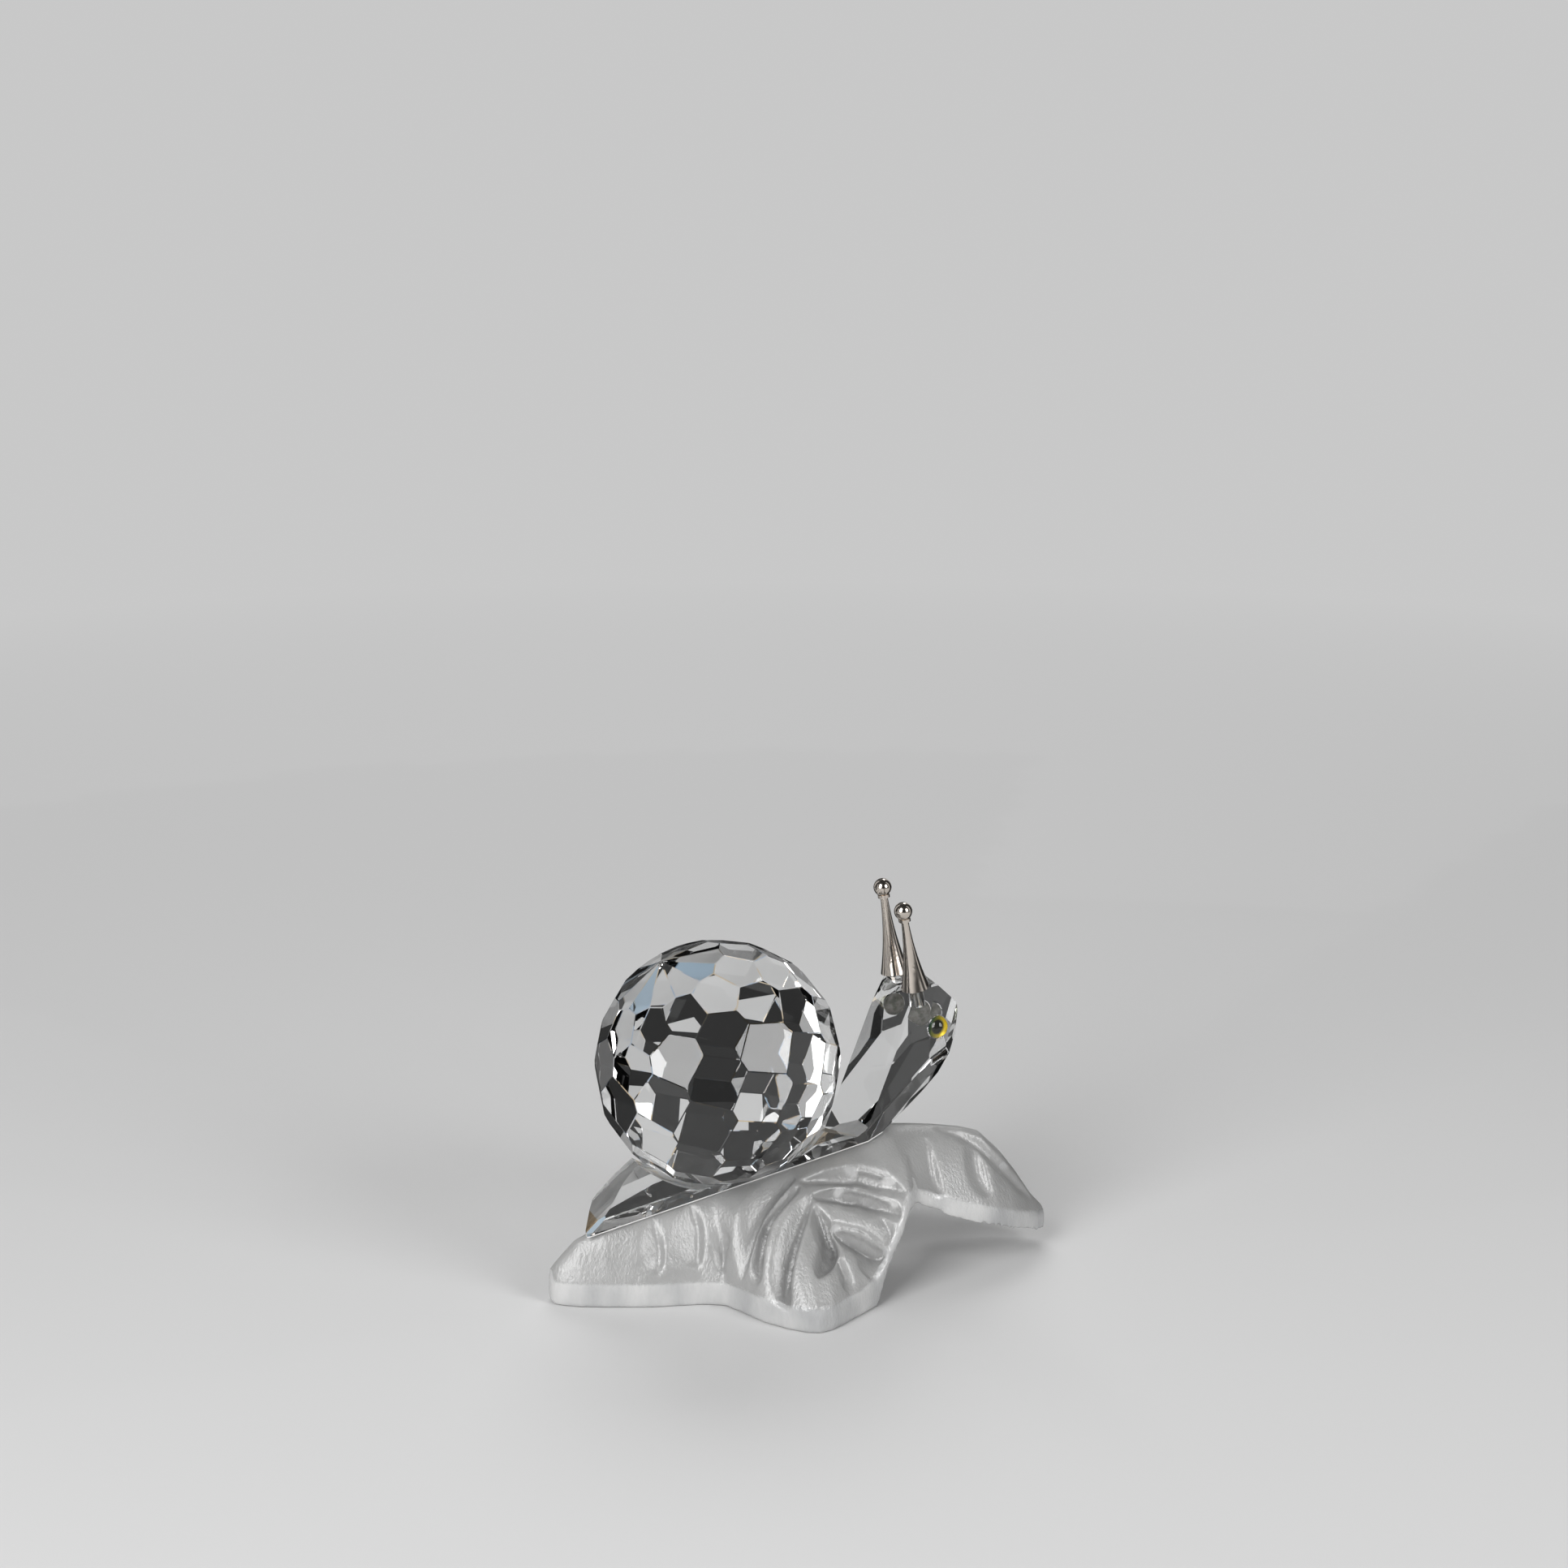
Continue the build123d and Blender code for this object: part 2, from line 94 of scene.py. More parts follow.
class NodeGraph:
    """A material's node tree, with short calls to add and join nodes."""

    def __init__(self, name: str) -> None:
        """Starts an empty material.

        Args:
            name: The material's name.
        """
        self.material = bpy.data.materials.new(name)
        self.material.use_nodes = True
        self.tree = self.material.node_tree
        self.tree.nodes.clear()
        self.output = self.tree.nodes.new("ShaderNodeOutputMaterial")

    def add(self, kind: str, **settings: object) -> bpy.types.Node:
        """Adds a node.

        Args:
            kind: The node type without its ShaderNode prefix.
            **settings: Properties of the node.

        Returns:
            The new node.
        """
        node = self.tree.nodes.new(f"ShaderNode{kind}")
        for key, value in settings.items():
            setattr(node, key, value)
        return node

    def link(self, source: Socket, target: Socket) -> None:
        """Joins an output socket to an input socket."""
        self.tree.links.new(source, target)

    def feed(self, target: Socket, source: Socket | Colour | float) -> None:
        """Gives an input its value.

        Args:
            target: The input.
            source: An output, or a plain value.
        """
        if isinstance(source, Socket):
            self.link(source, target)
        else:
            target.default_value = source

    def read(self, mark: Mark) -> Socket:
        """Reads a number that the mesh carries."""
        return self.add("Attribute", attribute_name=mark.value).outputs["Fac"]

    def surface(self, **sockets: object) -> bpy.types.Node:
        """Adds the surface shader and joins it to the output.

        Args:
            **sockets: Values by socket name, with _ for a space.

        Returns:
            The shader node.
        """
        shader = self.add("BsdfPrincipled")
        for key, value in sockets.items():
            shader.inputs[key.replace("_", " ")].default_value = value
        self.link(shader.outputs[0], self.output.inputs["Surface"])
        return shader

    def place(self, centre: Point = (0, 0, 0), squash: Point = (1, 1, 1)) -> Socket:
        """Gives the piece's own coordinates, measured from a point.

        Args:
            centre: The point that becomes zero, in metres.
            squash: How much denser a pattern is along each axis.

        Returns:
            The coordinates' output.
        """
        mapping = self.add("Mapping")
        mapping.inputs["Location"].default_value = [-c * s for c, s in zip(centre, squash)]
        mapping.inputs["Scale"].default_value = squash
        self.link(self.add("TexCoord").outputs["Object"], mapping.inputs["Vector"])
        return mapping.outputs["Vector"]

    def noise(self, scale: float, detail: float = 2.0, squash: Point = (1, 1, 1)) -> Socket:
        """Adds noise that reads the piece's own coordinates.

        Args:
            scale: Features to the metre.
            detail: Octaves of finer noise.
            squash: How much denser the pattern is along each axis.

        Returns:
            The pattern's output.
        """
        noise = self.add("TexNoise")
        noise.inputs["Scale"].default_value = scale
        noise.inputs["Detail"].default_value = detail
        self.link(self.place(squash=squash), noise.inputs["Vector"])
        return noise.outputs["Fac"]

    def spread(
        self, source: Socket, low: float, high: float, start: float = 0.0, stop: float = 1.0
    ) -> Socket:
        """Maps part of a pattern onto another range.

        Args:
            source: The pattern's output.
            low: Value at the start.
            high: Value at the stop.
            start: Where the range begins in the pattern.
            stop: Where it ends.

        Returns:
            The mapped output.
        """
        span = self.add("MapRange")
        limits = {"From Min": start, "From Max": stop, "To Min": low, "To Max": high}
        for name, value in limits.items():
            span.inputs[name].default_value = value
        self.link(source, span.inputs["Value"])
        return span.outputs[0]

    def colours(self, source: Socket, stops: Stops) -> Socket:
        """Maps a pattern onto a run of colours.

        Args:
            source: The pattern's output.
            stops: Pairs of a place from 0 to 1 and a colour.

        Returns:
            The colour output.
        """
        ramp = self.add("ValToRGB")
        marks = ramp.color_ramp.elements
        while len(marks) < len(stops):
            marks.new(1.0)
        for mark, (place, colour) in zip(marks, stops):
            mark.position = place
            mark.color = colour
        self.link(source, ramp.inputs["Fac"])
        return ramp.outputs["Color"]

    def mottle(self, cloud: Socket, low: Colour, high: Colour) -> Socket:
        """Spreads two tints over a cloudy pattern."""
        return self.colours(cloud, ((0.35, low), (0.65, high)))

    def blend(self, share: Socket, first: Socket | Colour, second: Socket | Colour) -> Socket:
        """Blends two colours.

        Args:
            share: How much of the second shows.
            first: A colour, or a colour's output.
            second: A colour, or a colour's output.

        Returns:
            The blended colour.
        """
        mix = self.add("MixRGB")
        self.link(share, mix.inputs["Fac"])
        self.feed(mix.inputs["Color1"], first)
        self.feed(mix.inputs["Color2"], second)
        return mix.outputs["Color"]

    def maths(self, operation: str, first: Socket | float, second: Socket | float) -> Socket:
        """Joins two patterns, or a pattern and a number, by a Math node's operation.

        Args:
            operation: The Math node's operation.
            first: An output or a number.
            second: An output or a number.

        Returns:
            The result's output.
        """
        node = self.add("Math", operation=operation)
        self.feed(node.inputs[0], first)
        self.feed(node.inputs[1], second)
        return node.outputs[0]

    def bump(
        self, height: Socket, depth: float, shader: bpy.types.Node, below: Socket | None = None
    ) -> Socket:
        """Lets a pattern raise the surface.

        Args:
            height: The pattern's output.
            depth: Height of the relief in metres.
            shader: The shader that shows it.
            below: The normal of a coarser relief under this one.

        Returns:
            The raised normal.
        """
        bump = self.add("Bump")
        bump.inputs["Strength"].default_value = 1.0
        bump.inputs["Distance"].default_value = depth
        self.link(height, bump.inputs["Height"])
        if below is not None:
            self.link(below, bump.inputs["Normal"])
        self.link(bump.outputs["Normal"], shader.inputs["Normal"])
        return bump.outputs["Normal"]


@dataclass(frozen=True)
class Finish:
    """A finish that makes its own material."""

    name: str

    def build(self) -> bpy.types.Material:
        """Makes the material."""
        raise NotImplementedError


@dataclass(frozen=True)
class CutCrystal(Finish):
    """Clear lead crystal with a hand polish that is never quite flat, whose small facets get
    painted coloured glints: blue and orange tints that stand in for light split into colours.
    """

    # painted coloured glints: blue, clear and orange tints, spread over the small facets by their
    # marks
    fire: Stops = (
        (0.00, (0.40, 0.68, 1.0, 1.0)),
        (0.09, (0.68, 0.86, 1.0, 1.0)),
        (0.10, (0.98, 0.985, 0.99, 1.0)),
        (0.90, (0.98, 0.985, 0.98, 1.0)),
        (0.91, (1.0, 0.86, 0.62, 1.0)),
        (1.00, (1.0, 0.62, 0.30, 1.0)),
    )
    refraction: float = 1.56
    haze_low: float = 0.0
    haze_high: float = 0.018
    polish_scale: float = 220.0

    def build(self) -> bpy.types.Material:
        """Makes the material.

        Returns:
            The material.
        """
        graph = NodeGraph(self.name)
        shader = graph.surface(IOR=self.refraction, Transmission_Weight=1.0)
        # painted coloured glints: each small facet takes a blue, orange or clear tint by its mark
        fire = graph.colours(graph.read(Mark.FIRE), self.fire)
        graph.link(fire, shader.inputs["Base Color"])
        polish = graph.noise(scale=self.polish_scale, detail=3.0)
        graph.link(graph.spread(polish, self.haze_low, self.haze_high), shader.inputs["Roughness"])
        return graph.material


@dataclass(frozen=True)
class PaintedGlintEdge(Finish):
    """The narrow bevel between two facets, painted with patches of blue and orange as painted
    coloured glints of split light.
    """

    refraction: float = 1.6
    haze: float = 0.03
    run_scale: float = 330.0
    # painted coloured glints: the run of blue to orange tints along the bevels
    run: Stops = (
        (0.34, (0.45, 0.66, 1.0, 1.0)),
        (0.42, (0.97, 0.98, 1.0, 1.0)),
        (0.56, (1.0, 0.99, 0.97, 1.0)),
        (0.64, (1.0, 0.70, 0.36, 1.0)),
    )

    def build(self) -> bpy.types.Material:
        """Makes the material.

        Returns:
            The material.
        """
        graph = NodeGraph(self.name)
        shader = graph.surface(IOR=self.refraction, Transmission_Weight=1.0, Roughness=self.haze)
        # painted coloured glints: noise patches of the tint run on the bevels
        patches = graph.noise(scale=self.run_scale, detail=0.0)
        graph.link(graph.colours(patches, self.run), shader.inputs["Base Color"])
        return graph.material


@dataclass(frozen=True)
class SatinGlass(Finish):
    """Pressed glass with an acid-frosted skin, painted shade darkening its veins, and a glossier
    rim whose lighter streaked colour is painted glints.
    """

    tint_low: Colour = (0.385, 0.385, 0.381, 1.0)
    tint_high: Colour = (0.44, 0.44, 0.436, 1.0)
    # painted shade: the dark colour that the sunk veins take
    vein_shade: Colour = (0.09, 0.09, 0.092, 1.0)
    # painted glints: the rim's streaked colours are lighter than the skin to stand in for light on
    # the polished band; the streaks follow its vertical striations
    rim_glint_low: Colour = (0.46, 0.465, 0.47, 1.0)
    rim_glint_high: Colour = (0.70, 0.70, 0.695, 1.0)
    clearness: float = 0.22
    glint: float = 1.0
    refraction: float = 1.5
    gloss_low: float = 0.27
    gloss_high: float = 0.31
    rim_gloss: float = 0.18
    cloud_scale: float = 300.0
    streak_scale: float = 170.0
    streak_squash: Point = (1.0, 1.0, 0.35)
    streak_from: float = 0.38
    streak_to: float = 0.60
    brush_scale: float = 3600.0
    brush_squash: Point = (1.0, 1.0, 0.4)
    brush_depth: float = 0.06 * MM
    grain_scale: float = 7000.0
    grain_depth: float = 0.02 * MM

    def build(self) -> bpy.types.Material:
        """Makes the material.

        Returns:
            The material.
        """
        graph = NodeGraph(self.name)
        shader = graph.surface(
            IOR=self.refraction, Transmission_Weight=self.clearness, Specular_IOR_Level=self.glint
        )
        rim = graph.read(Mark.RIM)
        cloud = graph.noise(scale=self.cloud_scale, detail=4.0)
        raised = graph.mottle(cloud, self.tint_low, self.tint_high)
        # painted shade: the skin darkens towards the vein shade colour where the veins are sunk
        # deepest
        skin = graph.blend(graph.read(Mark.VEIN_SHADE), raised, self.vein_shade)
        # painted glints: the rim's lighter streaked colour, strongest towards the leaf's ends; its
        # lower roughness below is real polish
        streak = graph.noise(scale=self.streak_scale, detail=5.0, squash=self.streak_squash)
        stops = ((self.streak_from, self.rim_glint_low), (self.streak_to, self.rim_glint_high))
        glinting_rim = graph.colours(streak, stops)
        graph.link(graph.blend(rim, skin, glinting_rim), shader.inputs["Base Color"])
        matt = graph.spread(cloud, self.gloss_high, self.gloss_low)
        polished = graph.maths("MULTIPLY", rim, graph.maths("SUBTRACT", self.rim_gloss, matt))
        graph.link(graph.maths("ADD", matt, polished), shader.inputs["Roughness"])
        brushed = graph.noise(scale=self.brush_scale, detail=3.0, squash=self.brush_squash)
        normal = graph.bump(brushed, self.brush_depth, shader)
        graph.bump(graph.noise(scale=self.grain_scale), self.grain_depth, shader, below=normal)
        return graph.material


@dataclass(frozen=True)
class PlatedMetal(Finish):
    """Bright, slightly warm plate with faint polishing lines along the horn."""

    tint: Colour = (0.66, 0.60, 0.54, 1.0)
    gloss_low: float = 0.10
    gloss_high: float = 0.20
    mark_scale: float = 1800.0
    mark_squash: Point = (1.0, 1.0, 0.10)
    mark_depth: float = 0.002 * MM

    def build(self) -> bpy.types.Material:
        """Makes the material.

        Returns:
            The material.
        """
        graph = NodeGraph(self.name)
        shader = graph.surface(Base_Color=self.tint, Metallic=1.0)
        marks = graph.noise(scale=self.mark_scale, squash=self.mark_squash)
        graph.link(graph.spread(marks, self.gloss_low, self.gloss_high), shader.inputs["Roughness"])
        graph.bump(marks, self.mark_depth, shader)
        return graph.material


@dataclass(frozen=True)
class EyeGlass(Finish):
    """The clear dome of an eye."""

    tint: Colour = (0.93, 0.95, 0.80, 1.0)
    refraction: float = 1.52
    haze: float = 0.03
    polish_scale: float = 900.0

    def build(self) -> bpy.types.Material:
        """Makes the material.

        Returns:
            The material.
        """
        graph = NodeGraph(self.name)
        shader = graph.surface(Base_Color=self.tint, IOR=self.refraction, Transmission_Weight=1.0)
        polish = graph.noise(scale=self.polish_scale)
        graph.link(graph.spread(polish, 0.0, self.haze), shader.inputs["Roughness"])
        return graph.material


@dataclass(frozen=True)
class EyeFoil(Finish):
    """The foil behind an eye's dome: a black pupil in an iris of teal to yellow, whose bright
    yellow side at the lower front is painted light gathered by the dome.
    """

    centre: Point = (0.0, 0.0, 0.0)
    pupil_radius: float = 0.5 * MM
    pupil_edge: float = 0.16 * MM
    iris_radius: float = 1.25 * MM
    slant: float = 0.35
    speckle: float = 0.16
    speckle_scale: float = 2500.0
    metal: float = 0.35
    roughness: float = 0.3
    pupil: Colour = (0.004, 0.005, 0.004, 1.0)
    iris: Stops = (
        (0.12, (0.01, 0.15, 0.15, 1.0)),
        (0.36, (0.05, 0.10, 0.02, 1.0)),
        (0.60, (0.36, 0.30, 0.01, 1.0)),
        (0.82, (0.95, 0.66, 0.01, 1.0)),
    )

    def build(self) -> bpy.types.Material:
        """Makes the material.

        Returns:
            The material.
        """
        graph = NodeGraph(self.name)
        shader = graph.surface(Metallic=self.metal, Roughness=self.roughness)
        own = graph.place(centre=self.centre)
        parts = graph.add("SeparateXYZ")
        graph.link(own, parts.inputs[0])
        # painted light: the iris runs one way, darkest teal at the upper back and brightest yellow
        # at the lower front, as the dome gathers light on one side
        lean = graph.maths("MULTIPLY", parts.outputs["Z"], self.slant)
        slanted = graph.maths("SUBTRACT", parts.outputs["X"], lean)
        towards_lit_side = graph.spread(slanted, 0.0, 1.0, -self.iris_radius, self.iris_radius)
        flecks = graph.noise(scale=self.speckle_scale, detail=3.0)
        speckle = graph.maths("MULTIPLY", flecks, self.speckle)
        iris = graph.colours(graph.maths("ADD", towards_lit_side, speckle), self.iris)
        length = graph.add("VectorMath", operation="LENGTH")
        graph.link(own, length.inputs[0])
        outside = self.pupil_radius + self.pupil_edge
        rim = graph.spread(length.outputs["Value"], 0.0, 1.0, self.pupil_radius, outside)
        graph.link(graph.blend(rim, self.pupil, iris), shader.inputs["Base Color"])
        return graph.material


@dataclass(frozen=True)
class SilverBack(Finish):
    """The silvered back of an eye, which shows through the head."""

    tint_low: Colour = (0.14, 0.14, 0.12, 1.0)
    tint_high: Colour = (0.34, 0.33, 0.30, 1.0)
    cloud_scale: float = 1500.0
    metal: float = 0.6
    roughness: float = 0.4

    def build(self) -> bpy.types.Material:
        """Makes the material.

        Returns:
            The material.
        """
        graph = NodeGraph(self.name)
        shader = graph.surface(Metallic=self.metal, Roughness=self.roughness)
        cloud = graph.noise(scale=self.cloud_scale, detail=3.0)
        graph.link(graph.mottle(cloud, self.tint_low, self.tint_high), shader.inputs["Base Color"])
        return graph.material


@dataclass(frozen=True)
class ClearBond(Finish):
    """Cured clear adhesive."""

    tint: Colour = (0.97, 0.98, 0.98, 1.0)
    refraction: float = 1.5
    haze: float = 0.12
    cloud_scale: float = 700.0

    def build(self) -> bpy.types.Material:
        """Makes the material.

        Returns:
            The material.
        """
        graph = NodeGraph(self.name)
        shader = graph.surface(Base_Color=self.tint, IOR=self.refraction, Transmission_Weight=1.0)
        cloud = graph.noise(scale=self.cloud_scale)
        graph.link(graph.spread(cloud, 0.0, self.haze), shader.inputs["Roughness"])
        return graph.material


@dataclass(frozen=True)
class CloudyBond(Finish):
    """Adhesive that has soaked into a frosted face, which looks white through the crystal."""

    tint_low: Colour = (0.70, 0.70, 0.70, 1.0)
    tint_high: Colour = (0.86, 0.86, 0.85, 1.0)
    cloud_scale: float = 500.0
    roughness: float = 0.45

    def build(self) -> bpy.types.Material:
        """Makes the material.

        Returns:
            The material.
        """
        graph = NodeGraph(self.name)
        shader = graph.surface(Roughness=self.roughness)
        cloud = graph.noise(scale=self.cloud_scale, detail=3.0)
        graph.link(graph.mottle(cloud, self.tint_low, self.tint_high), shader.inputs["Base Color"])
        return graph.material


@dataclass(frozen=True)
class FlagBlack(Finish):
    """The matt black of the studio's flags and card."""

    tint: Colour = (0.01, 0.01, 0.01, 1.0)
    roughness: float = 0.9

    def build(self) -> bpy.types.Material:
        """Makes the material.

        Returns:
            The material.
        """
        graph = NodeGraph(self.name)
        graph.surface(Base_Color=self.tint, Roughness=self.roughness)
        return graph.material


@dataclass(frozen=True)
class PaperSweep(Finish):
    """The studio's plain pale floor, which runs into the backdrop's own paleness."""

    tint: Colour = (0.66, 0.66, 0.66, 1.0)
    roughness: float = 0.9
    backdrop: Colour = PALE
    fades_from: float = 0.13
    fades_to: float = 0.40

    def build(self) -> bpy.types.Material:
        """Makes the material.

        Returns:
            The material.
        """
        graph = NodeGraph(self.name)
        paper = graph.surface(Base_Color=self.tint, Roughness=self.roughness)
        glow = graph.add("Emission")
        glow.inputs["Color"].default_value = self.backdrop
        rays = graph.add("LightPath")
        seen = graph.maths("MAXIMUM", rays.outputs["Is Camera Ray"], rays.outputs["Is Glossy Ray"])
        shown = graph.maths("MAXIMUM", seen, rays.outputs["Is Transmission Ray"])
        length = graph.add("VectorMath", operation="LENGTH")
        graph.link(graph.place(), length.inputs[0])
        far = graph.spread(length.outputs["Value"], 0.0, 1.0, self.fades_from, self.fades_to)
        mix = graph.add("MixShader")
        graph.link(graph.maths("MULTIPLY", shown, far), mix.inputs["Fac"])
        graph.link(paper.outputs[0], mix.inputs[1])
        graph.link(glow.outputs[0], mix.inputs[2])
        graph.link(mix.outputs[0], graph.output.inputs["Surface"])
        return graph.material


def deselect() -> None:
    """Leaves nothing selected."""
    bpy.ops.object.select_all(action="DESELECT")


def take(piece: bpy.types.Object) -> None:
    """Makes a piece the only selected one, and the active one.

    Args:
        piece: The piece.
    """
    deselect()
    piece.select_set(True)
    bpy.context.view_layer.objects.active = piece


def merged_copy(node: str, name: str) -> bpy.types.Object:
    """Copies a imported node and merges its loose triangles.

    Args:
        node: The node's name.
        name: The copy's name.

    Returns:
        The copy, which is an ordinary piece at the origin.
    """
    take(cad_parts[node])
    bpy.ops.object.duplicate()
    piece = bpy.context.active_object
    piece.parent = None
    for key in list(piece.keys()):
        del piece[key]
    piece.name = name
    piece.data.name = name
    piece.data.materials.clear()
    bpy.ops.mesh.customdata_custom_splitnormals_clear()
    bpy.ops.object.mode_set(mode="EDIT")
    bpy.ops.mesh.select_all(action="SELECT")
    bpy.ops.mesh.remove_doubles(threshold=MERGE_WITHIN)
    bpy.ops.object.mode_set(mode="OBJECT")
    return piece


def finish_with(piece: bpy.types.Object, kind: str, name: str, **settings: object) -> None:
    """Adds a modifier and applies it.

    Args:
        piece: The piece.
        kind: The modifier's type.
        name: The modifier's name.
        **settings: The modifier's properties.
    """
    take(piece)
    modifier = piece.modifiers.new(name, kind)
    for key, value in settings.items():
        setattr(modifier, key, value)
    bpy.ops.object.modifier_apply(modifier=name)


def shade(piece: bpy.types.Object, shading: Shading) -> None:
    """Shades a piece flat or smooth.

    Args:
        piece: The piece.
        shading: How it is shaded.
    """
    take(piece)
    if shading is Shading.FLAT:
        bpy.ops.object.shade_flat()
    else:
        bpy.ops.object.shade_smooth()


def dress(piece: bpy.types.Object, *materials: bpy.types.Material) -> None:
    """Gives a piece its materials.

    Args:
        piece: The piece.
        *materials: The materials in the order of its faces' slots.
    """
    piece.data.materials.clear()
    for material in materials:
        piece.data.materials.append(material)


def dress_node(node: str, material: bpy.types.Material) -> None:
    """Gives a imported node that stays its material."""
    dress(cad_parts[node], material)
    LOG.info("%s: packed node, in %s", node, material.name)


def turn_of(place: Vector) -> float:
    """How far round a place lies from straight in front, in degrees."""
    return math.degrees(math.atan2(place.x, -place.y))


def write_mark(mesh: bpy.types.Mesh, mark: Mark, domain: str, values: np.ndarray) -> None:
    """Writes a number for each point or face, which a finish reads."""
    mesh.attributes.new(mark.value, "FLOAT", domain).data.foreach_set("value", values)


def read_triples(source: bpy.types.bpy_prop_collection, key: str) -> np.ndarray:
    """Reads three numbers from each member of a mesh's list.

    Args:
        source: The list, such as the mesh's vertices.
        key: The property with the three numbers.

    Returns:
        One row for each member.
    """
    numbers = np.empty(len(source) * 3)
    source.foreach_get(key, numbers)
    return numbers.reshape(-1, 3)


def hand_over(piece: bpy.types.Object, node: str) -> None:
    """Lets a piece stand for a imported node.

    Args:
        piece: The finished piece.
        node: The node that it replaces.
    """
    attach(piece, "root")
    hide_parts(node)
    LOG.info("%s: %d faces", piece.name, len(piece.data.polygons))


@dataclass
class CutCrystalPiece:
    """A faceted crystal piece, with its cuts eased by a fine bevel."""

    node: str
    bevel: float = 0.07 * MM
    flat_within: float = math.radians(0.6)
    cut_from: float = math.radians(3.0)
    painted_fire_below: float = 14.0 * MM**2
    painted_fire_seed: int = 4
    clear_at: float = 0.5

    def build(self, crystal: bpy.types.Material, glint_edge: bpy.types.Material) -> bpy.types.Object:
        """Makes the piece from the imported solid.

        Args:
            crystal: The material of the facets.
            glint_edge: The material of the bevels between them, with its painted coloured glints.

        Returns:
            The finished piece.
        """
        piece = merged_copy(self.node, f"{self.node}_cut")
        take(piece)
        bpy.ops.object.mode_set(mode="EDIT")
        bpy.ops.mesh.select_all(action="SELECT")
        bpy.ops.mesh.dissolve_limited(angle_limit=self.flat_within)
        bpy.ops.object.mode_set(mode="OBJECT")
        dress(piece, crystal, glint_edge)
        finish_with(
            piece,
            "BEVEL",
            "eased cuts",
            width=self.bevel,
            segments=1,
            limit_method="ANGLE",
            angle_limit=self.cut_from,
            use_clamp_overlap=True,
            material=1,
        )
        shade(piece, Shading.FLAT)
        self.mark_painted_fire(piece)
        hand_over(piece, self.node)
        return piece

    def mark_painted_fire(self, piece: bpy.types.Object) -> None:
        """Gives each small facet its own place in the run of painted coloured glints, tints that
        stand in for split light.

        Args:
            piece: The piece, whose large facets stay clear.
        """
        mesh = piece.data
        areas = np.empty(len(mesh.polygons))
        mesh.polygons.foreach_get("area", areas)
        # painted coloured glints: small facets get a random place in the tint run, large ones the
        # clear middle
        luck = np.random.default_rng(self.painted_fire_seed).random(len(areas))
        luck = np.where(areas < self.painted_fire_below, luck, self.clear_at)
        write_mark(mesh, Mark.FIRE, "FACE", luck)


@dataclass(frozen=True)
class Vein:
    """A vein of the leaf: points from the crest outwards, in millimetres.

    Each point is its place along the leaf and its distance from the lobe's middle.
    The flank and lip are the widths of its long and its steep side, and the taper
    is the share of them that is left at its ends.
    """

    points: tuple[tuple[float, float], ...]
    depth: float = 1.1
    flank: float = 3.2
    lip: float = 1.0
    taper: float = 0.3
    sides: tuple[Side, ...] = (Side.RIGHT, Side.LEFT)


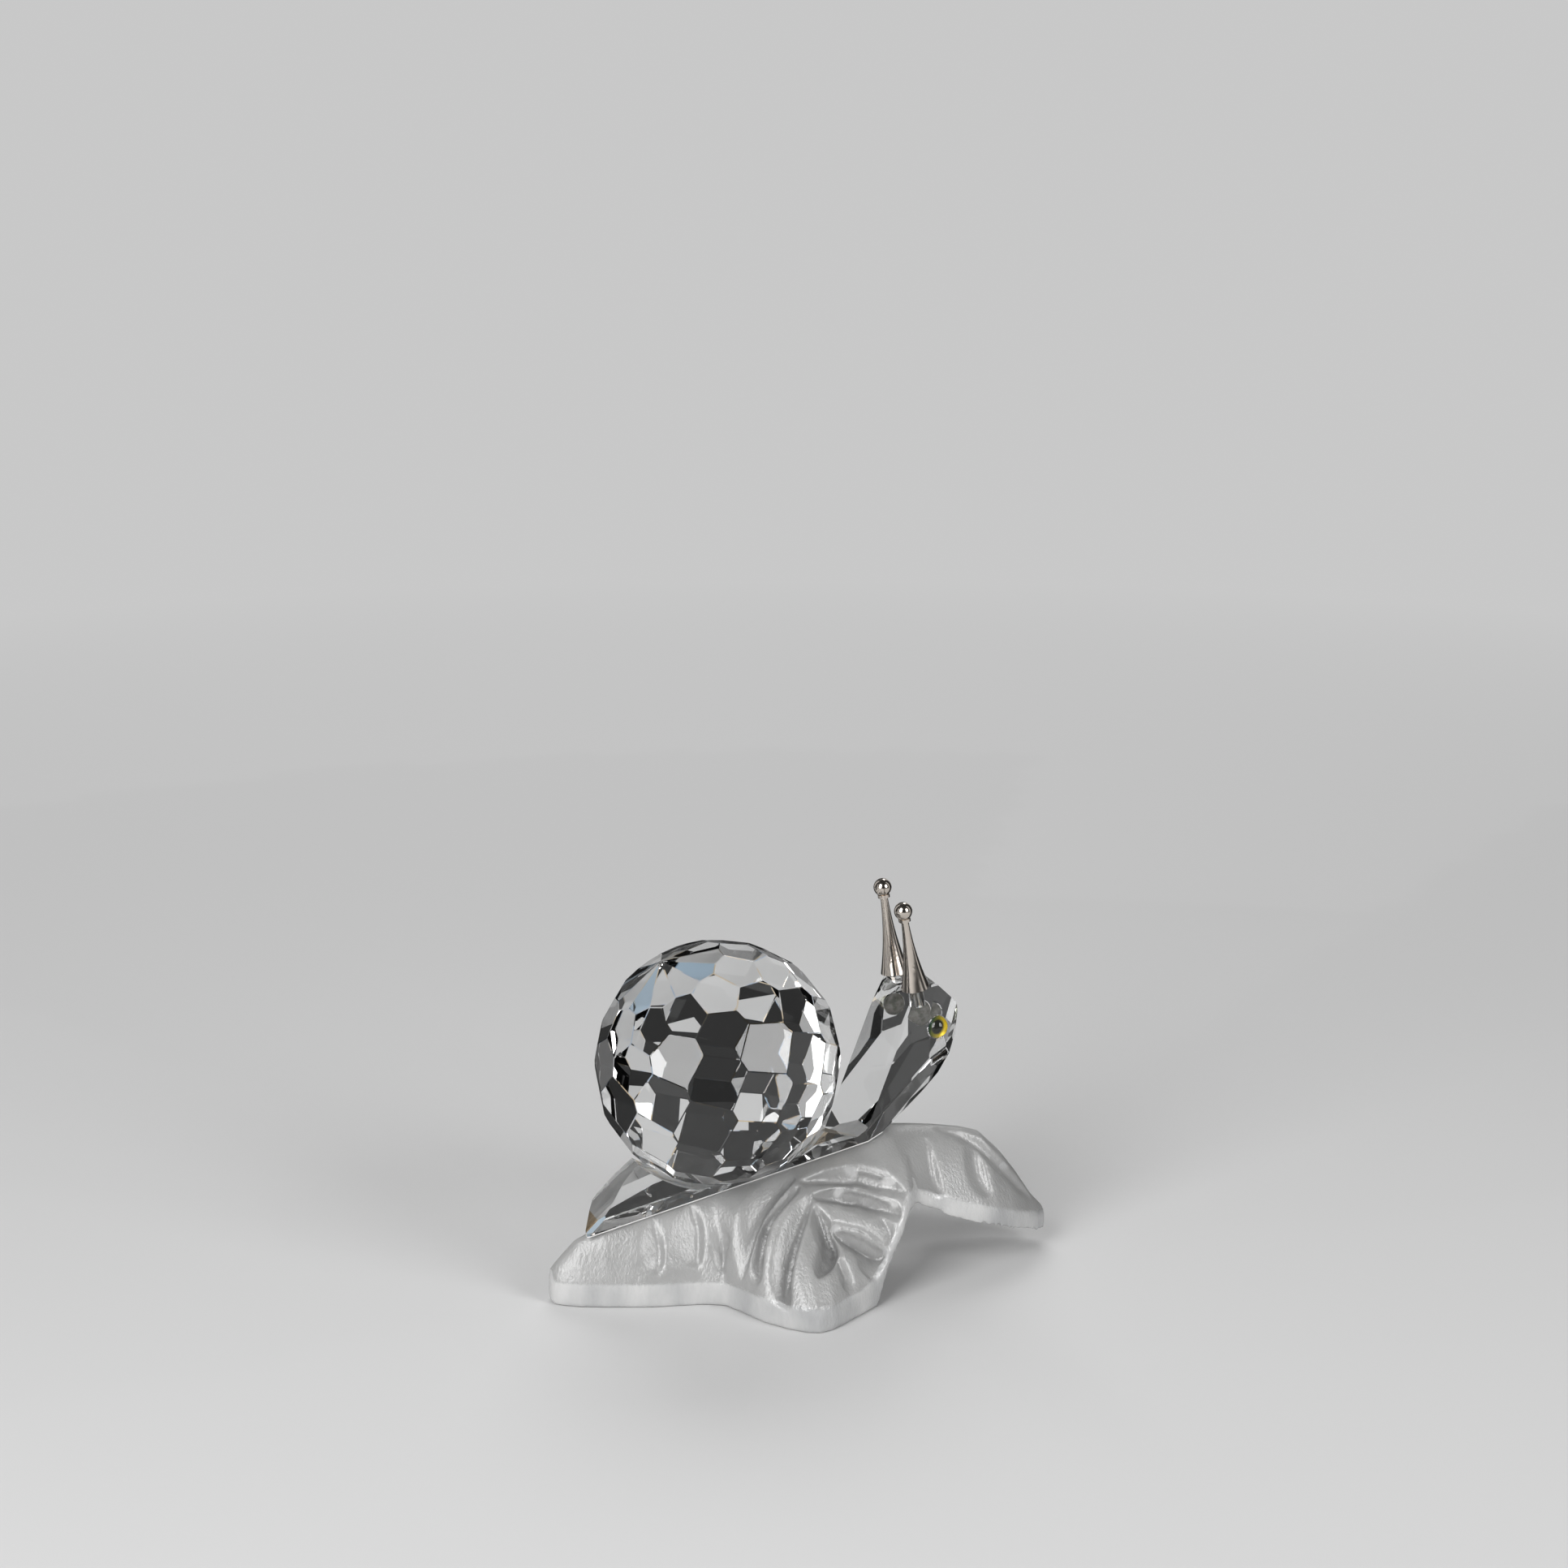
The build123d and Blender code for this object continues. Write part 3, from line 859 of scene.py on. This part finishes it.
@dataclass
class Leaf:
    """The draped leaf with its carved veins and ground rim.

    Its reach, swing, rim bounds and the sunk depth at which the painted vein shade is full are in
    millimetres.
    """

    node: str = "leaf"
    cell: float = 0.224 * MM
    smoothing: float = 0.5
    ease_rounds: int = 4
    rim_rounds: int = 36
    soften_rounds: int = 1
    reach: float = 28.35
    swing: float = 1.8
    swing_from: float = 0.35
    upright_within: float = 0.03
    rim_grip: float = 4.0
    grip_from: float = 0.05
    rim_blur: int = 3
    rim_from: float = 8.5
    rim_full: float = 12.5
    rim_least: float = 0.15
    skin_from: float = 0.1
    skin_blend: float = 0.2
    # painted shade in the veins: full at this sunk depth, eased in by the power
    vein_shade_depth: float = 1.6
    vein_shade_power: float = 1.5
    veins: tuple[Vein, ...] = (
        Vein(
            ((-2.3, 3.4), (-4.8, 4.5), (-7.1, 5.8), (-8.8, 7.1), (-9.8, 7.9)),
            depth=0.9,
            flank=2.6,
        ),
        Vein(((-2.3, 4.8), (-4.8, 6.0), (-6.8, 6.9), (-8.2, 8.4), (-8.8, 10.1)), flank=2.3),
        Vein(((-1.4, 6.4), (-3.7, 8.9), (-5.5, 10.8), (-6.7, 12.4), (-6.8, 14.0)), flank=2.6),
        Vein(
            ((-1.4, 7.2), (-0.6, 9.0), (-0.3, 10.5), (-1.1, 11.9), (-3.4, 13.5)),
            depth=1.2,
            flank=3.0,
        ),
        Vein(((-0.6, 9.0), (1.4, 9.5), (3.4, 9.7), (4.8, 10.3), (5.7, 10.9)), flank=2.4),
        Vein(((-1.4, 6.3), (1.4, 6.2), (4.0, 6.4), (6.0, 7.6), (7.9, 9.3)), flank=1.8),
        Vein(((-2.0, 4.2), (1.1, 4.3), (4.5, 4.8), (6.8, 6.4), (8.8, 7.9)), depth=0.8, flank=1.8),
        Vein(((-13.6, 1.0), (-13.0, 2.3), (-13.2, 3.4), (-13.6, 4.2)), depth=0.14, flank=3.2),
        Vein(((-17.6, 1.1), (-17.3, 2.4), (-17.4, 3.2), (-18.1, 3.7)), depth=0.1, flank=3.0),
        Vein(((13.6, 2.2), (13.3, 4.3), (13.4, 5.6), (13.6, 6.4)), depth=0.28, flank=3.4),
        Vein(((19.3, 1.6), (19.1, 3.2), (19.1, 4.5), (19.6, 5.6)), depth=0.28, flank=3.6),
        Vein(((-9.1, 5.2), (-9.2, 6.8), (-9.7, 7.6), (-10.1, 8.3)), depth=0.35, flank=1.2),
        Vein(((-10.3, 4.8), (-10.9, 4.9), (-11.3, 5.3)), depth=0.6, flank=2.0),
        Vein(((5.8, 7.6), (5.8, 8.6), (6.2, 9.8), (6.4, 10.4)), depth=0.6, flank=1.8),
        Vein(((-0.7, 11.3), (-0.1, 12.1), (0.3, 12.8), (-0.5, 13.7)), depth=0.6, flank=1.4),
        Vein(
            ((14.6, 0.7), (18.4, 1.4), (21.0, 2.2), (23.5, 2.2), (26.2, 1.7)),
            depth=0.25,
            flank=2.0,
            sides=(Side.RIGHT,),
        ),
    )

    def build(self, satin: bpy.types.Material) -> bpy.types.Object:
        """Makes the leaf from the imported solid.

        Args:
            satin: The material of its frosted skin and rim.

        Returns:
            The finished piece.
        """
        piece = merged_copy(self.node, "leaf_satin")
        solid = bmesh.new()
        solid.from_mesh(piece.data)
        tree = BVHTree.FromBMesh(solid)
        solid.free()
        finish_with(piece, "REMESH", "even mesh", mode="VOXEL", voxel_size=self.cell)
        self.mark_rim(piece, tree)
        self.smooth(piece, "ease", self.ease_rounds)
        self.smooth(piece, "ease rim", self.rim_rounds, vertex_group=Mark.RIM.value)
        self.carve(piece)
        self.smooth(piece, "soften", self.soften_rounds)
        shade(piece, Shading.SMOOTH)
        dress(piece, satin)
        hand_over(piece, self.node)
        return piece

    def smooth(self, piece: bpy.types.Object, name: str, rounds: int, **settings: object) -> None:
        """Smooths the leaf's mesh for a number of rounds."""
        finish_with(piece, "SMOOTH", name, factor=self.smoothing, iterations=rounds, **settings)

    def middle(self, along: np.ndarray) -> np.ndarray:
        """How far the lobes' middle lies aside, in millimetres.

        Args:
            along: Places along the leaf in millimetres.

        Returns:
            The offsets to the left.
        """
        past = np.clip(-along / self.reach - self.swing_from, 0.0, None) / (1 - self.swing_from)
        return self.swing * past**2

    def sinking(self, spots: np.ndarray, vein: Vein, side: Side) -> np.ndarray:
        """How deep one vein sinks each spot, in millimetres.

        Args:
            spots: Places in plan, in millimetres.
            vein: The vein.
            side: The side it lies on.

        Returns:
            The depths.
        """
        line = np.array(vein.points, float)
        line[:, 1] = self.middle(line[:, 0]) + side.value * line[:, 1]
        run = len(line) - 1
        nearest = np.full(len(spots), np.inf)
        flank = np.zeros(len(spots))
        travel = np.zeros(len(spots))
        for step in range(run):
            start, way = line[step], line[step + 1] - line[step]
            share = np.clip((spots - start) @ way / (way @ way), 0.0, 1.0)
            gap = spots - start - share[:, None] * way
            away = np.hypot(gap[:, 0], gap[:, 1])
            near = away < nearest
            nearest[near] = away[near]
            turned = side.value * (gap[:, 1] * way[0] - gap[:, 0] * way[1])
            flank[near] = turned[near]
            travel[near] = ((step + share) / run)[near]
        fade = np.sqrt(np.sin(math.pi * np.clip(travel, 0.0, 1.0)))
        width = np.where(flank > 0, vein.flank, vein.lip) * (vein.taper + (1 - vein.taper) * fade)
        climb = np.sin(math.pi / 2 * np.clip(nearest / width, 0.0, 1.0))
        return vein.depth * fade * (1 - climb)

    def carve(self, piece: bpy.types.Object) -> None:
        """Sinks the veins into the upper skin and marks how deep each point lies in one, as painted
        shade that darkens the veins.

        Args:
            piece: The remeshed leaf.
        """
        mesh = piece.data
        places = read_triples(mesh.vertices, "co")
        normals = read_triples(mesh.vertex_normals, "vector")
        top = np.nonzero(normals[:, 2] > self.skin_from)[0]
        spots = places[top, :2] / MM
        sunk = np.zeros(len(top))
        for vein in self.veins:
            for side in vein.sides:
                sunk = np.maximum(sunk, self.sinking(spots, vein, side))
        sunk *= np.clip((normals[top, 2] - self.skin_from) / self.skin_blend, 0.0, 1.0)
        places[top] -= normals[top] * sunk[:, None] * MM
        mesh.vertices.foreach_set("co", places.ravel())
        mesh.update()
        # painted shade: the deeper a point is sunk, the darker its skin is painted
        shaded = np.zeros(len(places))
        shaded[top] = np.clip(sunk / self.vein_shade_depth, 0.0, 1.0) ** self.vein_shade_power
        write_mark(mesh, Mark.VEIN_SHADE, "POINT", shaded)

    def mark_rim(self, piece: bpy.types.Object, tree: BVHTree) -> None:
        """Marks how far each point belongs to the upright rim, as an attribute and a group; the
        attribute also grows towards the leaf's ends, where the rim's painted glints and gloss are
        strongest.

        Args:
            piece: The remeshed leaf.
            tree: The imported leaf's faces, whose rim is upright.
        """
        mesh = piece.data
        upright = np.zeros(len(mesh.vertices))
        for vertex in mesh.vertices:
            normal = tree.find_nearest(vertex.co)[1]
            if abs(normal.z) < self.upright_within:
                upright[vertex.index] = 1.0
        ends = np.empty(len(mesh.edges) * 2, int)
        mesh.edges.foreach_get("vertices", ends)
        first, second = ends[0::2], ends[1::2]
        share = np.bincount(ends, minlength=len(upright))
        for _ in range(self.rim_blur):
            total = np.bincount(first, upright[second], len(upright))
            total += np.bincount(second, upright[first], len(upright))
            upright = (upright + total) / (share + 1)
        # the rim's painted glints and its gloss fade towards the middle lobe, down to rim_least
        out = np.abs(read_triples(mesh.vertices, "co")[:, 0]) / MM
        past = (out - self.rim_from) / (self.rim_full - self.rim_from)
        shine = np.clip(past, self.rim_least, 1.0)
        write_mark(mesh, Mark.RIM, "POINT", upright * shine)
        group = piece.vertex_groups.new(name=Mark.RIM.value)
        for index in np.nonzero(upright > self.grip_from)[0]:
            group.add([int(index)], min(1.0, self.rim_grip * float(upright[index])), "REPLACE")


@dataclass
class Eye:
    """A glass cabochon: a clear dome over a coloured foil."""

    side: Side
    slant: float = 0.34
    radius: float = 1.25 * MM
    height: float = 1.2 * MM
    wall: float = 0.15 * MM
    lift: float = 0.015 * MM
    segments: int = 56
    rings: int = 40
    facing: float = 0.95
    cut_within: float = 0.0001 * MM
    smooth_below: float = math.radians(35)

    def build(self, glass: bpy.types.Material) -> bpy.types.Object:
        """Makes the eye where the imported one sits.

        Args:
            glass: The dome's material.

        Returns:
            The finished piece.
        """
        node = f"{self.side.word}_eye"
        outward = Vector((self.slant, self.side.value * math.sqrt(1 - self.slant**2), 0))
        outward.normalize()
        back = self.back_faces(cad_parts[node], outward)
        area = sum(face.area for face in back)
        centre = sum((face.center * face.area for face in back), Vector()) / area
        crown = self.height - self.wall
        dome = (self.radius**2 + crown**2) / (2 * crown)
        deselect()
        bpy.ops.mesh.primitive_uv_sphere_add(
            segments=self.segments,
            ring_count=self.rings,
            radius=dome,
            location=centre + outward * (self.height - dome),
            rotation=outward.to_track_quat("Z", "Y").to_euler(),
        )
        piece = bpy.context.active_object
        piece.name = f"{node}_cabochon"
        bpy.ops.object.transform_apply(location=True, rotation=True, scale=True)
        bpy.ops.object.mode_set(mode="EDIT")
        bpy.ops.mesh.select_all(action="SELECT")
        bpy.ops.mesh.bisect(
            plane_co=centre + outward * self.wall,
            plane_no=outward,
            clear_inner=True,
            threshold=self.cut_within,
        )
        bpy.ops.mesh.extrude_region_move(
            TRANSFORM_OT_translate={"value": -outward * (self.wall - self.lift)}
        )
        bpy.ops.mesh.edge_face_add()
        bpy.ops.mesh.select_all(action="SELECT")
        bpy.ops.mesh.normals_make_consistent(inside=False)
        bpy.ops.object.mode_set(mode="OBJECT")
        dress(piece, glass, EyeFoil(f"{self.side.word}_eye_foil", centre=tuple(centre)).build())
        for face in self.back_faces(piece, outward):
            face.material_index = 1
        bpy.ops.object.shade_smooth_by_angle(angle=self.smooth_below)
        hand_over(piece, node)
        return piece

    def back_faces(self, piece: bpy.types.Object, outward: Vector) -> list[bpy.types.MeshPolygon]:
        """Finds an eye's flat back, whose faces look into the head."""
        return [face for face in piece.data.polygons if face.normal.dot(outward) < -self.facing]


@dataclass
class SoleFilm:
    """The adhesive under the foot, pressed a hair into both faces."""

    node: str = "sole_bond"
    press: float = 0.012 * MM

    def build(self, cloudy: bpy.types.Material) -> bpy.types.Object:
        """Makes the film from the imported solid.

        Args:
            cloudy: The film's material.

        Returns:
            The finished piece.
        """
        piece = merged_copy(self.node, "sole_film")
        finish_with(piece, "DISPLACE", "pressed", strength=self.press, mid_level=0.0)
        dress(piece, cloudy)
        hand_over(piece, self.node)
        return piece


@dataclass(frozen=True)
class Window:
    """A window-like lamp that faces the snail.

    Its azimuth is in degrees round from straight in front, towards the snail's
    head, its height in degrees above the floor and its power in watts.
    """

    name: str
    azimuth: float
    height: float
    away: float
    width: float
    tall: float
    power: float
    aim: float = 20.0 * MM

    def hang(self) -> None:
        """Hangs the lamp at its place."""
        data = bpy.data.lights.new(self.name, "AREA")
        data.shape = "RECTANGLE"
        data.size = self.width
        data.size_y = self.tall
        data.energy = self.power
        turn = math.radians(self.azimuth)
        rise = math.radians(self.height)
        level = math.cos(rise)
        way = Vector((math.sin(turn) * level, -math.cos(turn) * level, math.sin(rise)))
        lamp = bpy.data.objects.new(self.name, data)
        lamp.location = Vector((0, 0, self.aim)) + way * self.away
        lamp.rotation_mode = "QUATERNION"
        lamp.rotation_quaternion = (-way).to_track_quat("-Z", "Y")
        bpy.context.scene.collection.objects.link(lamp)


@dataclass
class Studio:
    """Floor, lights, sky and the photograph's camera.

    The dark flags are a dome whose gaps are the windows that the crystal shows:
    each is two turns and two heights in degrees. The dark card lies behind the
    snail, open between pairs of turns.
    """

    camera_at: Point = (-114.56 * MM, -313.1 * MM, 141.27 * MM)
    camera_tilt: float = math.radians(75.547)
    camera_turn: float = math.radians(-19.72)
    lens: float = 75.0
    sensor: float = 36.0
    sees_from: float = 0.01
    sees_to: float = 20.0
    floor_reach: float = 3.0
    backdrop: Colour = PALE
    fill: Colour = (0.10, 0.10, 0.10, 1.0)
    flag_reach: float = 0.42
    flag_centre: Point = (-0.094, -0.257, 0.0)
    flag_segments: int = 240
    flag_rings: int = 120
    flag_gaps: tuple[tuple[float, float, float, float], ...] = (
        (-66, -38, 12, 58),
        (20, 42, 8, 46),
        (-100, -84, 0, 40),
        (66, 84, 0, 60),
        (128, 150, 4, 60),
        (176, 184, 6, 30),
        (-160, -134, 4, 60),
    )
    card_size: float = 0.5
    card_cells: int = 120
    card_lift: float = 0.001
    card_from: float = 0.036
    card_to: float = 0.24
    card_gaps: tuple[tuple[float, float], ...] = ((-88, 84), (128, 150), (-150, -130))
    windows: tuple[Window, ...] = (
        Window("left_window", azimuth=-53, height=27, away=0.5, width=0.26, tall=0.42, power=2.4),
        Window("right_window", azimuth=31, height=26, away=0.5, width=0.22, tall=0.26, power=1.2),
        Window("rear_window", azimuth=165, height=48, away=0.55, width=0.35, tall=0.3, power=1.1),
    )

    def build(self, paper: bpy.types.Material, black: bpy.types.Material) -> None:
        """Makes the whole studio.

        Args:
            paper: The floor's material.
            black: The material of the flags and the card.
        """
        self.place_camera()
        self.lay_floor(paper)
        self.paint_sky()
        self.stand_flags(black)
        self.lay_card(black)
        for window in self.windows:
            window.hang()

    def place_camera(self) -> None:
        """Sets the camera at the photograph's place."""
        data = bpy.data.cameras.new("photo_camera")
        data.lens = self.lens
        data.sensor_width = self.sensor
        data.clip_start = self.sees_from
        data.clip_end = self.sees_to
        camera = bpy.data.objects.new("photo_camera", data)
        camera.location = self.camera_at
        camera.rotation_euler = (self.camera_tilt, 0, self.camera_turn)
        bpy.context.scene.collection.objects.link(camera)
        bpy.context.scene.camera = camera

    def lay_floor(self, paper: bpy.types.Material) -> None:
        """Lays the floor that the leaf rests on.

        Args:
            paper: The floor's material.
        """
        deselect()
        bpy.ops.mesh.primitive_plane_add(size=self.floor_reach, location=(0, 0, 0))
        floor = bpy.context.active_object
        floor.name = "floor"
        dress(floor, paper)

    def paint_sky(self) -> None:
        """Gives the world a pale backdrop where it is seen, and a dim fill where it lights."""
        world = bpy.data.worlds.new("studio_sky")
        world.use_nodes = True
        bpy.context.scene.world = world
        tree = world.node_tree
        tree.nodes.clear()
        out = tree.nodes.new("ShaderNodeOutputWorld")
        mix = tree.nodes.new("ShaderNodeMixShader")
        for socket, colour in ((1, self.fill), (2, self.backdrop)):
            light = tree.nodes.new("ShaderNodeBackground")
            light.inputs["Color"].default_value = colour
            tree.links.new(light.outputs[0], mix.inputs[socket])
        rays = tree.nodes.new("ShaderNodeLightPath")
        shown = rays.outputs["Is Camera Ray"]
        for ray in ("Is Glossy Ray", "Is Transmission Ray"):
            either = tree.nodes.new("ShaderNodeMath")
            either.operation = "MAXIMUM"
            tree.links.new(shown, either.inputs[0])
            tree.links.new(rays.outputs[ray], either.inputs[1])
            shown = either.outputs[0]
        tree.links.new(shown, mix.inputs["Fac"])
        tree.links.new(mix.outputs[0], out.inputs["Surface"])

    def stand_flags(self, black: bpy.types.Material) -> None:
        """Stands dark flags round the set, which only glass and metal show.

        Args:
            black: The flags' material.
        """
        deselect()
        bpy.ops.mesh.primitive_uv_sphere_add(
            segments=self.flag_segments,
            ring_count=self.flag_rings,
            radius=self.flag_reach,
            location=self.flag_centre,
        )
        flags = bpy.context.active_object
        flags.name = "dark_flags"
        bpy.ops.object.transform_apply(location=True)
        self.open_up(flags, self.flags_open)
        dress(flags, black)
        self.hide_from_lens(flags)

    def lay_card(self, black: bpy.types.Material) -> None:
        """Lays a dark card on the floor behind the snail, which only glass and metal show.

        Args:
            black: The card's material.
        """
        deselect()
        bpy.ops.mesh.primitive_grid_add(
            x_subdivisions=self.card_cells,
            y_subdivisions=self.card_cells,
            size=self.card_size,
            location=(0, 0, self.card_lift),
        )
        card = bpy.context.active_object
        card.name = "dark_card"
        self.open_up(card, self.card_open)
        dress(card, black)
        self.hide_from_lens(card)

    def flags_open(self, place: Vector) -> bool:
        """Says whether the flags leave a place open.

        Args:
            place: A place on their dome.

        Returns:
            Whether it is below the floor or in a gap.
        """
        height = math.degrees(math.asin(place.z / place.length))
        turn = turn_of(place)
        return height < 0 or any(
            left < turn < right and low < height < high for left, right, low, high in self.flag_gaps
        )

    def card_open(self, place: Vector) -> bool:
        """Says whether the card leaves a place open.

        Args:
            place: A place on the floor.

        Returns:
            Whether it is too near, too far or in a gap.
        """
        turn = turn_of(place)
        away = place.xy.length
        in_gap = any(left < turn < right for left, right in self.card_gaps)
        return away < self.card_from or away > self.card_to or in_gap

    def open_up(self, flag: bpy.types.Object, is_open: Callable[[Vector], bool]) -> None:
        """Deletes the faces that lie where a flag is open.

        Args:
            flag: The flag.
            is_open: Says it of a place.
        """
        shape = bmesh.new()
        shape.from_mesh(flag.data)
        cut = [face for face in shape.faces if is_open(face.calc_center_median())]
        bmesh.ops.delete(shape, geom=cut, context="FACES")
        shape.to_mesh(flag.data)
        shape.free()

    def hide_from_lens(self, flag: bpy.types.Object) -> None:
        """Leaves a flag to glass and metal alone.

        Args:
            flag: The flag.
        """
        flag.visible_camera = False
        flag.visible_diffuse = False
        flag.visible_shadow = False


@dataclass
class SnailOrnament:
    """The whole ornament and its studio."""

    ball: CutCrystalPiece = field(default_factory=lambda: CutCrystalPiece("shell_ball"))
    body: CutCrystalPiece = field(default_factory=lambda: CutCrystalPiece("snail_body"))
    leaf: Leaf = field(default_factory=Leaf)
    film: SoleFilm = field(default_factory=SoleFilm)
    studio: Studio = field(default_factory=Studio)

    def build(self) -> None:
        """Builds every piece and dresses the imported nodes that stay."""
        bpy.context.scene.view_settings.view_transform = "Standard"
        crystal = CutCrystal("cut_crystal").build()
        glint_edge = PaintedGlintEdge("painted_glint_edge").build()
        satin = SatinGlass("satin_glass").build()
        metal = PlatedMetal("nickel_plate").build()
        glass = EyeGlass("eye_glass").build()
        bond = ClearBond("clear_bond").build()
        cloudy = CloudyBond("cloudy_bond").build()
        silver = SilverBack("silver_back").build()
        self.studio.build(PaperSweep("paper_sweep").build(), FlagBlack("flag_black").build())
        self.ball.build(crystal, glint_edge)
        self.body.build(crystal, glint_edge)
        self.leaf.build(satin)
        self.film.build(cloudy)
        for side in Side:
            Eye(side).build(glass)
            dress_node(f"{side.word}_horn", metal)
            dress_node(f"{side.word}_horn_bond", bond)
            dress_node(f"{side.word}_eye_bond", silver)
        dress_node("shell_bond", bond)


def main() -> None:
    """Builds the ornament."""
    logging.basicConfig(level=logging.INFO, format="%(name)s: %(message)s")
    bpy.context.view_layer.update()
    SnailOrnament().build()


if __name__ == "__main__":
    main()
